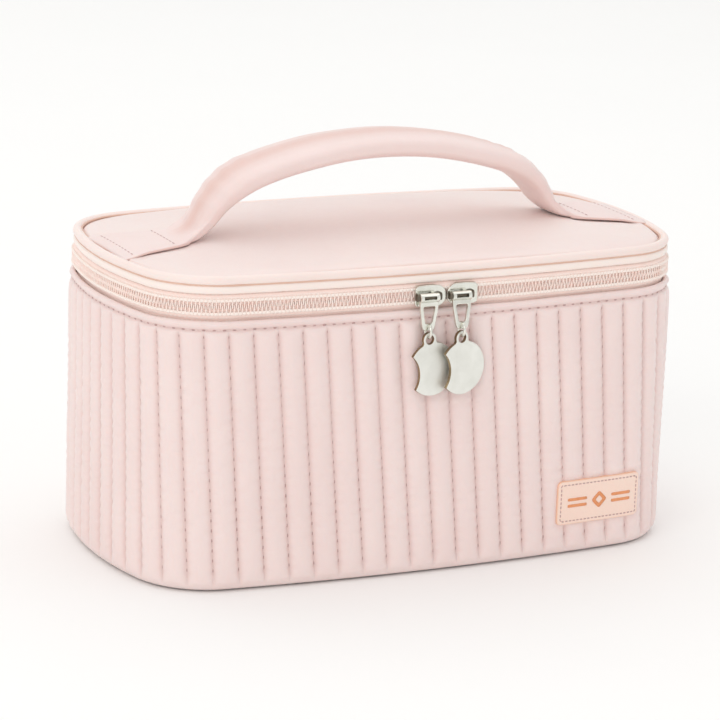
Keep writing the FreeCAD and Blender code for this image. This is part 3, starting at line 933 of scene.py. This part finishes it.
def hinge():
    """The leather strip behind, sewn to the body and the lid. It bends as the lid opens on the real bag;
    here it is one fixed sheet.
    """
    rows = np.linspace(96.2, BAND_LOW + 1.2, 46)[:, None]
    s = ROUND / 2 + np.linspace(-HINGE_HALF, HINGE_HALF, 90)[None, :]
    base = on_plan(s, 1.2, rows)
    tuck = 0.9 * smooth(99.2, 97.2, rows) + 0.9 * smooth(BAND_LOW - 0.6, BAND_LOW + 0.6, rows)
    inset = 1.15 + tuck + 0.06 * ripples(base, 16.0, 41)
    points = on_plan(s, inset, rows)
    # painted shade where the strip tucks in under the body's lip and the lid's band
    seam_shade = smooth(4.0, 5.2, np.abs(rows - CHAIN_Z)) * 0.6 + 0 * s
    strips = ("hinge_strip_lower", "hinge_strip_upper")
    obj = piece("hinge_leather", Shape().add(points, quads(46, 90)), None, "wall", strips, seam_shade)
    thicken(obj, 0.9, -1)
    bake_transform(obj)


# Lid ----------

LID_EDGE = 3.5


def tab_half(x):
    """Half width of the handle's flat end at a distance x from the middle."""
    return 9.5 + 9.0 * np.clip((x - 74.0) / 31.0, 0, 1) ** 0.85


def tab_tuck(x):
    """How far the flat end has sunk towards the piping, from 0 to 1."""
    return smooth(95, 105, x)


def lid_top():
    """The crowned top, pressed down under the handle's flat ends and round its edge."""
    cols = 300
    edge_rows = [0, 0.004, 0.009, 0.015, 0.023, 0.034, 0.05, 0.07]
    share = 1 - np.concatenate([edge_rows, np.linspace(0.095, 1, 58)])
    share[-1] = 0.003
    edge = on_plan(all_round(cols)[None], LID_EDGE, 0.0)
    points = edge * share[:, None, None]
    x, y = points[..., 0], points[..., 1]
    depth = (1 - share[:, None]) * np.linalg.norm(edge[..., :2], axis=-1)
    z = crown_z(x, y)
    z = z - 1.5 * np.exp(-((depth / 1.1) ** 2)) + 0.22 * smooth(1, 8, depth) * ripples(points, 55.0, 51)
    press = smooth(8, 0, np.maximum(np.abs(y) - tab_half(np.abs(x)), 0)) * smooth(68, 80, np.abs(x))
    z = z - 0.35 * press * smooth(0, 6, depth)
    points[..., 2] = z
    held = (depth < 2.0) | (press > 0.9)
    faces = quads(len(share), cols, True)
    shift = settle(points.reshape(-1, 3), faces, held.ravel(), 0.5, 12, 0.5, 0.006)
    points = points + shift.reshape(points.shape) * smooth(1.5, 7, depth)[..., None]
    # painted shade round the edge, where the top tucks in beside the piping
    seam_shade = 0.9 * np.exp(-((depth / 0.9) ** 2))
    shape = Shape().add(points, faces, last_ring(len(share), cols))
    nodes = ("lid_top_panel", "lid_foam", "lid_board")
    obj = piece("lid_leather", shape, "lid", "lid", nodes, seam_shade)


def piping():
    """The roll round the lid, and a thin dark tan tube on each side of it: painted shadow in the grooves
    there.
    """
    columns, sides = 640, 20
    s = all_round(columns)
    path = on_plan(s, PIPING_INSET, PIPING_Z)
    along, out, _ = frames_at(s)
    radius = PIPING_R * (1 + 0.025 * ripples(path, 9.0, 61)) + 0.04
    points, faces = sweep(path, out, radius, radius, sides, 2.0, True)
    # painted shade along the roll's inner side, in the groove next to the top
    inner = 0.7 * np.exp(-(((circle(sides) - math.pi) / 0.5) ** 2)) * np.ones((columns, 1))
    shape = Shape().add(points, *faces)
    obj = piece("lid_piping_roll", shape, "lid", "piping", ("lid_piping",), inner)
    # painted shadow: two thin dark tubes stand for the shade in the grooves either side of the roll
    shadow_line_tubes = Shape()
    for inset, z, radius in ((3.75, PIPING_Z + 0.55, 0.42), (1.35, BAND_HIGH + 0.15, 0.36)):
        line = on_plan(s, inset + 0.06 * ripples(path, 12.0, 62), z)
        shadow_line_tubes.tube(line, out, radius, radius, 8, 2.0, True)
    piece("lid_painted_shadow_lines", shadow_line_tubes, "lid", "groove_shadow")


def lid_parts():
    """The lid's top, piping, side band, and the binding and lining under it."""
    lid_top()
    piping()
    foot = [(2.1, 0.5), (1.95, 0.05), (1.55, -0.12), (1.15, 0.0), (0.9, 0.35), (0.8, 0.9)]
    foot += [(0.78, 1.5), (0.85, 2.1)]
    head = [(1.05, -0.3), (1.5, 0.1), (2.2, 0.3)]
    section = [(inset, BAND_LOW + z) for inset, z in foot] + [(inset, BAND_HIGH + z) for inset, z in head]
    shade = [0.8, 0.5, 0.2, 0.05, 0, 0, 0, 0, 0.15, 0.6, 0.9]
    band_surface("lid_band_leather", section, "lid", "cream", ("lid_band",), 0.07, 560, shade)
    under = [(5.2, 0.2), (5.0, -0.1), (4.2, -0.5), (3.2, -0.5), (2.6, -0.25)]
    under = [(inset, LID_UNDER + z) for inset, z in under] + [(2.5, BAND_LOW + 1.8)]
    band_surface("lid_binding", under, "lid", "binding", ("lid_inner_binding",), 0.05)
    disc("lid_lining_cloth", 4.9, LID_UNDER + 0.1, -0.4, "lid", "lining", ("lid_lining",), up=False)


# Handle ----------

GRIP_HALF, GRIP_UP = 14.5, 5.0
TOP_ARC_R, TOP_ARC_DEG = 155.0, 19.0
SHOULDER_R = 33.0
HANDLE_MID_Z = box_mm("handle_cover")[1][2] - GRIP_UP


def handle_line():
    """Centre line of the right half: top arc, shoulder, and out along the lid, with half sizes."""
    rows = []
    for deg in np.concatenate([np.linspace(0, TOP_ARC_DEG, 26), np.linspace(TOP_ARC_DEG, 62, 26)[1:]]):
        turn = math.radians(min(deg, TOP_ARC_DEG))
        x = TOP_ARC_R * math.sin(turn)
        z = HANDLE_MID_Z - TOP_ARC_R * (1 - math.cos(turn))
        neck = 0.0
        if deg > TOP_ARC_DEG:
            on = math.radians(deg)
            x += SHOULDER_R * (math.sin(on) - math.sin(turn))
            z -= SHOULDER_R * (math.cos(turn) - math.cos(on))
            neck = smooth(TOP_ARC_DEG, 80, deg)
        rows.append((x, z, GRIP_HALF - 5.0 * neck, GRIP_UP - 1.75 * neck, 3.0 - 0.1 * neck))
    foot = [(71.6, 119.9), (74.0, 118.0), (77.4, 116.9)]
    rows += [(x, z, 9.6 + 0.3 * i, 2.7 - 0.5 * i, 3.0 + 0.4 * i) for i, (x, z) in enumerate(foot)]
    for x in np.linspace(80.5, 106.0, 18):
        tuck = tab_tuck(x)
        rows.append((x, crown_z(x, 0) + 0.7 - 0.95 * tuck, tab_half(x), 0.85 - 0.3 * tuck, 4.4))
    return np.array(rows)


def smoothed(rows, passes):
    """A table with its steps softened; its ends stay."""
    for _ in range(passes):
        rows[1:-1] = (rows[:-2] + 2 * rows[1:-1] + rows[2:]) / 4
    return rows


def even(rows, step):
    """A table of places and sizes along a line, with rows a fixed distance apart."""
    along = np.concatenate([[0], np.cumsum(np.linalg.norm(np.diff(rows[:, :2], axis=0), axis=1))])
    at = np.linspace(0, along[-1], round(along[-1] / step) + 1)
    return np.stack([np.interp(at, along, rows[:, k]) for k in range(rows.shape[1])], -1)


def handle():
    """The padded grip and its flat ends, with a fold along the inside and wrinkles at the shoulders."""
    half = smoothed(even(handle_line(), 1.0), 4)
    whole = np.concatenate([half[:0:-1] * (-1, 1, 1, 1, 1), half])
    path = np.stack([whole[:, 0], 0 * whole[:, 0], whole[:, 1]], -1)
    sides = 48
    points, faces = sweep(path, (0, 1, 0), whole[:, 2], whole[:, 3], sides, whole[:, 4])
    x, y, z = points[..., 0], points[..., 1], points[..., 2]
    arc = np.abs(x)
    flat = smooth(74, 82, arc)
    points[..., 2] -= flat * (crown_z(arc, 0 * y) - crown_z(arc, y))
    turn = circle(sides)
    below = np.clip(np.sin(turn), 0, 1)[None, :]
    along = np.arange(len(path))[:, None]
    wrinkle = 0.28 * np.sin(along * 0.9 + 0.5 * np.sin(along * 0.23))
    wrinkle = wrinkle * smooth(38, 58, arc) * smooth(78, 66, arc)
    wave = 0.35 * ripples(points, 26.0, 71) * (1 - flat)
    normal = points - path[:, None]
    normal /= np.maximum(np.linalg.norm(normal, axis=-1)[..., None], 1e-6)
    points += normal * (wrinkle * below + wave * 0.6)[..., None]
    fold = np.exp(-((np.abs(np.sin(turn / 2 - math.pi / 4)) / 0.12) ** 2))[None, :]
    points += normal * (-0.5 * fold * (1 - flat))[..., None]
    held = np.broadcast_to((flat > 0.5) | (fold > 0.5), points.shape[:2])
    shift = settle(points.reshape(-1, 3), faces[0], held.ravel(), 1.2, 12, 0.6, 0.012)
    points = points + shift.reshape(points.shape)
    # painted shade in the fold along the inside, along the flat ends' side edges and on the grip's underside
    seam_shade = np.maximum(0.65 * fold * (1 - flat), 0.4 * flat * (np.abs(np.cos(turn)) > 0.97)[None, :])
    seam_shade = np.maximum(seam_shade, smooth(0.8, 1.0, below) * 0.25 * (1 - flat))
    nodes = ("handle_cover", "handle_core")
    obj = piece("handle_leather", Shape().add(points, *faces), "lid", "handle", nodes, seam_shade)
    handle_stitches()


def handle_stitches():
    """A cross row at the foot of the grip, and one along the end of each flat end."""
    rows = [(side * x, half) for side in (-1, 1) for x, half in ((84.0, 10.15), (101.6, 14.5))]
    places = [(x, y) for x, half in rows for y in np.arange(-half, half + 0.1, 2.9)]
    at = np.array([(x, y, crown_z(x, y) + 1.57 - 1.25 * tab_tuck(abs(x))) for x, y in places])
    axes = [np.tile(axis, (len(at), 1)) for axis in ((0.0, 1.0, 0.0), (-1.0, 0.0, 0.0), (0.0, 0.0, 1.0))]
    threads = Shape()
    scatter(threads, *capsule(1.9, 0.19, 0.13), at, axes)
    # these stitches take the needle holes' dark finish: dark thread, with painted shade of their holes
    piece("handle_stitches", threads, "lid", "hole", ("handle_stitching",))


# Sliders and pulls ----------

SLIDER_X = 6.7
TAPE_INSET = 2.0
SLIDER_DEG = math.degrees(math.asin(SLIDER_X / (BOW_R - TAPE_INSET)))
CROWN_BAR_Y = -63.3
FACE_Y = -61.1
TAG_R, EYELET_R, EYELET_HOLE = 9.8, 2.7, 1.7
TAG_Z, EYELET_Z = 77.6, 88.55
BITE_R, BITE_X = 9.5, -14.8
# How far the bridge, loop, ring and tag hang to the side, and how the loop leans and the tag turns
HANG = {"left": (-0.8, -1.3, -1.2, -0.9), "right": (-1.5, -2.1, -2.2, -2.2)}
RING_Z, RING_R, RING_WIRE = 91.75, 2.45, 0.5
LOOP_FOOT_Z = 92.65
SPLIT_DEG = 42.0  # edges sharper than this stay crisp
LEAN_DEG = {"left": 0.0, "right": 7.0}
YAW_DEG = {"left": 8.0, "right": 11.5}
ROLL_DEG = {"left": 8.0, "right": 4.0}


def slider_plates():
    """Front and back plates, the rims that hold the coils, and the post between the plates."""
    outline = arc_points((-2.9, 0), 3.9, 90, 270, 19)[::-1]
    outline = [(x * 0.95 - 0.1, z) for x, z in outline]
    nose = [(1.5, 4.0), (4.6, 3.65), (5.6, 3.1)]
    outline += nose + [(x, -z) for x, z in nose[::-1]]
    outline = [tuple(p) for p in resampled(rounded(outline, 0.8, 3), 72)]
    front = plate([outline], 1.1, 0.28).moved(Matrix.Translation((0, FACE_Y + 0.55, CHAIN_Z)))
    back = plate([outline], 1.0, 0.22).moved(Matrix.Translation((0, -56.45, CHAIN_Z)))
    rims = Shape()
    for side in (-1, 1):
        path = [(x, -59.75, CHAIN_Z + side * z) for x, z in
                ((-3.0, 3.5), (-2.2, 3.68), (0.5, 3.7), (3.2, 3.6), (4.7, 3.52))]
        rims.tube(path, (0, 1, 0), 1.15, 0.27, 10, 3.0)
    post = [(x, -58.4, CHAIN_Z) for x in (-4.6, -4.2, -3.2, -2.6)]
    rims.tube(post, (0, 1, 0), 1.9, (0.3, 0.45, 0.45, 0.3), 8, 3.0)
    return front.join(back, rims)


def slider_crown():
    """The bridge on the front plate that the pull hangs from."""
    half = np.array([(-4.4, -60.9, 1.5), (-4.75, -61.8, 1.45), (-4.65, -62.7, 1.3), (-4.1, -63.2, 1.05),
                     (-3.2, -63.35, 0.68), (0, -63.35, 0.62)])
    line = smoothed(even(np.concatenate([half, half[-2::-1] * (-1, 1, 1)]), 0.25), 3)
    points = np.stack([line[:, 0], line[:, 1], 0 * line[:, 0] + CHAIN_Z], -1)
    return Shape().tube(points, (0, 0, 1), line[:, 2], 0.42, 14, 3.2)


def pull():
    """The pull's head round the crown's bar, and its tapered frame with a ring hole at the foot."""
    left = [(-3.7, 102.5), (-3.4, 99.0), (-2.5, 93.4), (-1.9, 91.95)]
    outline = rounded(left + [(-x, z) for x, z in left[::-1]], 0.9)
    hole = rounded([(-2.4, 100.7), (2.4, 100.7), (1.3, 94.4), (-1.3, 94.4)], 0.8)[::-1]
    body = plate([outline, hole], 1.4, 0.34).moved(Matrix.Translation((0, CROWN_BAR_Y, 0)))
    head = Shape()
    for turn, half in ((62, 0.8), (-62, 0.8), (180, 0.5)):
        a = math.radians(turn)
        mid = (CROWN_BAR_Y - 1.27 * math.cos(a), CHAIN_Z + 1.27 * math.sin(a))
        side = np.array([0.0, math.sin(a), math.cos(a)])
        path = [(x, *mid) for x in (-3.65, -3.4, -2.0, 0, 2.0, 3.4, 3.65)]
        head.tube(path, side, [0.5 * half] + 5 * [half] + [0.5 * half], 0.36, 10, 3.0)
    for side in (-1, 1):
        a = circle(32)
        rim = np.stack([0 * a + side * 3.05, CROWN_BAR_Y + 1.27 * np.cos(a), CHAIN_Z + 1.27 * np.sin(a)], -1)
        head.tube(rim, (1, 0, 0), 0.68, 0.37, 12, 3.2, True)
    return body.join(head)


def ring_shape():
    a = circle(56)
    path = np.stack([0 * a, CROWN_BAR_Y + RING_R * np.cos(a), RING_Z + RING_R * np.sin(a)], -1)
    return Shape().tube(path, (1, 0, 0), RING_WIRE, RING_WIRE, 14, 2.0, True)


def tag_shape():
    """A disc with a round bite out of its left side, and an eyelet on top."""
    rise = EYELET_Z - TAG_Z
    horn_x = (TAG_R**2 + BITE_X**2 - BITE_R**2) / (2 * BITE_X)
    horn_deg = math.degrees(math.acos(horn_x / TAG_R))
    bite_deg = math.degrees(math.asin(TAG_R * math.sin(math.radians(horn_deg)) / BITE_R))
    join = math.degrees(math.acos((rise**2 + TAG_R**2 - EYELET_R**2) / (2 * rise * TAG_R)))
    eye = math.degrees(math.acos((rise**2 + EYELET_R**2 - TAG_R**2) / (2 * rise * EYELET_R)))
    outline = arc_points((0, 0), TAG_R, 90 - join - 4, -horn_deg, 60)
    outline += arc_points((BITE_X, 0), BITE_R, -bite_deg, bite_deg, 30)[1:-1]
    outline += arc_points((0, 0), TAG_R, horn_deg, 90 + join + 4, 16)
    outline += arc_points((0, rise), EYELET_R, 270 - eye - 14, -90 + eye + 14, 30)
    hole = arc_points((0, rise), EYELET_HOLE, 0, 360, 33)[:-1]
    disc_part = plate([outline[::-1], hole[::-1]], 1.6, 0.26)
    return disc_part.moved(Matrix.Translation((0, CROWN_BAR_Y, TAG_Z)))


def dark_sides(tag):
    """The tag's sides take a darker gold-brown nickel than its faces: painted shade and reflection on its
    edges.
    """
    tag.data.materials.append(M["nickel_edge_shade"])
    for face in tag.data.polygons:
        if abs(face.normal.y) < 0.55:
            face.material_index = 1


def about(point, degrees, axis):
    """A turn about a line through a point."""
    there = Matrix.Translation(point)
    return there @ Matrix.Rotation(math.radians(degrees), 4, axis) @ there.inverted()


def sliders():
    """Both sliders with all that hangs on them. Each part gets its own small shift and turn."""
    reach = CHAIN_Z - LOOP_FOOT_Z
    for side, name in ((-1, "left"), (1, "right")):
        lean = math.radians(LEAN_DEG[name])
        place = about((0, BOW_R - HALF_DEPTH, 0), side * SLIDER_DEG, "Z")
        leaning = about((0, CROWN_BAR_Y, CHAIN_Z), -LEAN_DEG[name], "X")
        low = Matrix.Translation((0, -reach * math.sin(lean), reach * (1 - math.cos(lean))))
        yaw = about((0, CROWN_BAR_Y, 0), YAW_DEG[name], "Z")
        roll = about((0, CROWN_BAR_Y, EYELET_Z + EYELET_HOLE), -ROLL_DEG[name], "Y")
        bridge, loop, ring, tag = (Matrix.Translation((dx, 0, 0)) for dx in HANG[name])
        plates = slider_plates()
        if side < 0:
            plates.flipped()
        parts = (
            ("slider_plates", plates, place, "slider", "slider_body", "nickel"),
            # the bridge's dark nickel is painted shade and dark reflection
            ("slider_bridge", slider_crown(), place @ bridge, "slider", "slider_crown", "nickel_in_shade"),
            ("pull_frame", pull(), place @ loop @ leaning, "pull", "pull_loop", "nickel"),
            ("wire_ring", ring_shape(), place @ ring @ low, "ring", "jump_ring", "nickel"),
            ("bitten_tag", tag_shape(), place @ tag @ low @ yaw @ roll, "tag", "pull_tag", "nickel_satin"),
        )
        for part, shape, matrix, body, node, finish in parts:
            shape.moved(matrix)
            obj = piece(f"{name}_{part}", shape, f"{name}_{body}", finish, (f"{name}_{node}",))
            if part == "bitten_tag":
                dark_sides(obj)
            obj.modifiers.new("edges", "EDGE_SPLIT").split_angle = math.radians(SPLIT_DEG)


# Studio ----------

VIEW_AZIMUTH, VIEW_ELEVATION, VIEW_ROLL = -25.972, 14.769, 2.118
VIEW_DISTANCE = 1.2598
VIEW_TARGET = (-0.00348, 0.0, 0.0647)
VIEW_LENS = 169.17


def camera():
    """The view from the front left, rolled a little."""
    a, e, r = (math.radians(v) for v in (VIEW_AZIMUTH, VIEW_ELEVATION, VIEW_ROLL))
    back = Vector((math.sin(a) * math.cos(e), -math.cos(a) * math.cos(e), math.sin(e)))
    right = Vector((math.cos(a), math.sin(a), 0))
    up = back.cross(right)
    across = right * math.cos(r) + up * math.sin(r)
    above = up * math.cos(r) - right * math.sin(r)
    data = bpy.data.cameras.new("camera")
    data.lens, data.sensor_width = VIEW_LENS, 36.0
    cam = linked("camera", data)
    axes = Matrix((across, above, back)).transposed().to_4x4()
    cam.matrix_world = Matrix.Translation(Vector(VIEW_TARGET) + back * VIEW_DISTANCE) @ axes
    bpy.context.scene.camera = cam


def lamp(name, place, target, size, power, tint=(1.0, 1.0, 1.0)):
    """A rectangular light that faces a target."""
    data = bpy.data.lights.new(name, "AREA")
    data.shape, data.size, data.size_y = "RECTANGLE", *size
    data.energy, data.color = power, tint
    obj = linked(name, data)
    obj.location = place
    obj.rotation_euler = (Vector(target) - Vector(place)).to_track_quat("-Z", "Y").to_euler()


def studio():
    """White surroundings, a floor that curves up behind, and three lights."""
    scene = bpy.context.scene
    scene.view_settings.view_transform = "Standard"
    world = bpy.data.worlds.new("studio")
    world.use_nodes = True
    background = world.node_tree.nodes["Background"].inputs
    background["Color"].default_value = (1.0, 0.995, 0.99, 1.0)
    background["Strength"].default_value = 0.78
    scene.world = world
    turn = np.radians(np.linspace(0, 90, 14))
    far, curve = 1.6, 0.7
    section = [(-3.0, 0.0), (far, 0.0)]
    section += [(far + curve * math.sin(a), curve * (1 - math.cos(a))) for a in turn[1:]]
    section.append((far + curve, 3.0))
    points = [[(x, y, z) for x in (-4.0, 4.0)] for y, z in section]
    floor = Shape().add(np.array(points) / MM, quads(len(section), 2)[:, ::-1])
    obj = solid("floor", floor, floor_finish())
    obj.location.z = -0.0002
    middle = (0.0, 0.0, 0.06)
    lamp("key", (-1.5, -1.3, 1.2), middle, (1.4, 1.2), 8.5, (1.0, 0.985, 0.97))
    lamp("fill", (1.4, -1.6, 0.7), middle, (1.2, 1.0), 0.8, (0.95, 0.95, 1.0))
    lamp("top", (0.1, 0.5, 1.7), middle, (2.6, 2.2), 9.5)


camera()
studio()
wall()
stitches()
rim_row()
label()
inside()
zip_parts()
hinge()
lid_parts()
handle()
sliders()
